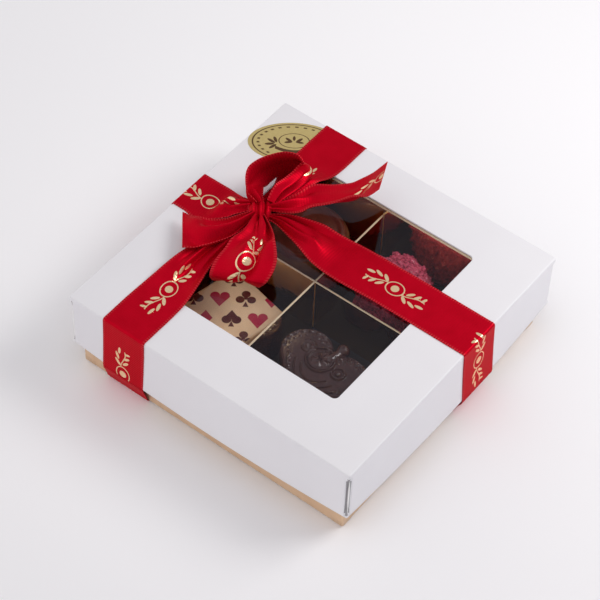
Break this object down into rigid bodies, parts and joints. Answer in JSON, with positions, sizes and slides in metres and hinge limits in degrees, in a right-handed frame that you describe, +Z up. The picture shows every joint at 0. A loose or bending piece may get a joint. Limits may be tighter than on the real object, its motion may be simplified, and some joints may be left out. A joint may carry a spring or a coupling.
{
  "type": "chocolate gift box",
  "caption": "Square card gift box with a lift-off window lid over divided chocolates, tied both ways with a ribbon and bow.",
  "frame": {"origin": "middle of the box's plan, on the surface that it stands on", "axes": "+Z up, +X along the front of the box to the right, +Y from the front to the back"},
  "size_m": [0.101, 0.101, 0.0415],
  "materials": {
    "lid_card": "smooth white coated card",
    "clear_film": "clear glossy film",
    "label_paper": "gold-toned printed paper",
    "base_card": "satin golden brown card",
    "gold_foil_card": "mirror-like gold foil on card",
    "dark_liner": "matt dark padding",
    "cream_chocolate": "satin cream chocolate with printed suits",
    "dark_chocolate": "glossy dark chocolate",
    "milk_chocolate": "satin milk chocolate",
    "raspberry_crumb": "rough pink fruit crumb",
    "red_satin": "red satin ribbon, printed with gold foil"
  },
  "bodies": {
    "base": {"base_tray": "base_card", "platform_insert": "gold_foil_card", "liner_pad": "dark_liner", "long_divider": "gold_foil_card", "cross_divider": "gold_foil_card", "chocolate_suit_tile": "cream_chocolate", "chocolate_dark_heart": "dark_chocolate", "chocolate_milk_disc": "milk_chocolate", "chocolate_raspberry_cluster": "raspberry_crumb", "ribbon_under": "red_satin"},
    "lid": {"lid_shell": "lid_card", "window_film": "clear_film", "oval_label": "label_paper"},
    "ribbon": {"bow_knot": "red_satin", "ribbon_front": "red_satin", "ribbon_back": "red_satin", "ribbon_left": "red_satin", "ribbon_right": "red_satin", "bow_lower_loop": "red_satin", "bow_upper_loop": "red_satin", "bow_left_tail": "red_satin", "bow_right_tail": "red_satin"}
  },
  "joints": [
    {"name": "lid_lift", "type": "slide", "parent": "base", "child": "lid", "axis": [0, 0, 1], "range_m": [0, 0.06]},
    {"name": "ribbon_lift", "type": "slide", "parent": "lid", "child": "ribbon", "axis": [0, 0, 1], "range_m": [0, 0.04]}
  ]
}
